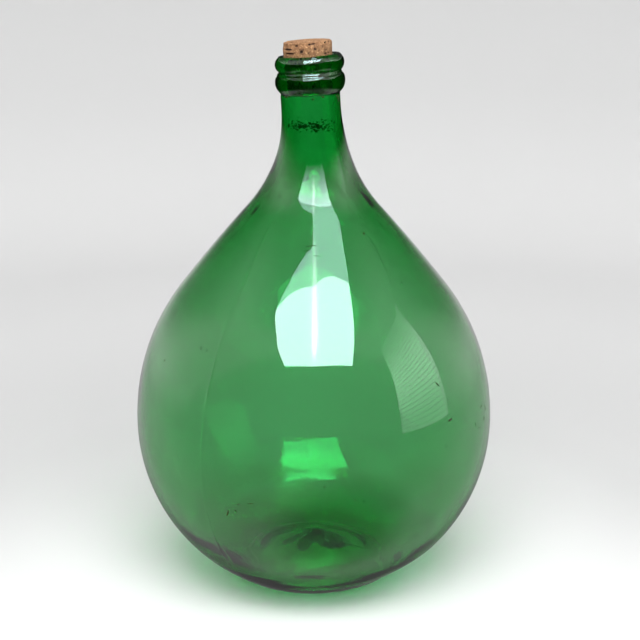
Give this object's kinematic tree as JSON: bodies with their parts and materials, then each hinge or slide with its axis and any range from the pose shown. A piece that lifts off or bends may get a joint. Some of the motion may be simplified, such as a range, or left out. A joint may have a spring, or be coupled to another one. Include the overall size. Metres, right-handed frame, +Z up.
{
  "type": "glass carboy",
  "caption": "Pear-shaped hand-finished green glass carboy with a narrow leaning neck, a double ring of glass laid on round the mouth, a shallow kick-up and a tapered cork.",
  "frame": {"origin": "centre of the standing ring, on the surface that the carboy stands on", "axes": "+Z up along the axis of the belly; the mouth leans towards -X; -Y is the front, where one mould line shows left of centre"},
  "size_m": [0.2704, 0.2704, 0.4054],
  "materials": {
    "green_glass": "clear bottle-green soda-lime glass, fire polished, slightly wavy, with seeds",
    "cork": "dry natural cork with dark pores and a crumbled edge"
  },
  "bodies": {
    "vessel": {"glass_body": "green_glass", "lip_ring": "green_glass", "collar_ring": "green_glass"},
    "cork": {"cork_stopper": "cork"}
  },
  "joints": [
    {"name": "cork_pull", "type": "slide", "parent": "vessel", "child": "cork", "axis": [-0.0593, 0, 0.9982], "range_m": [0, 0.08]}
  ]
}
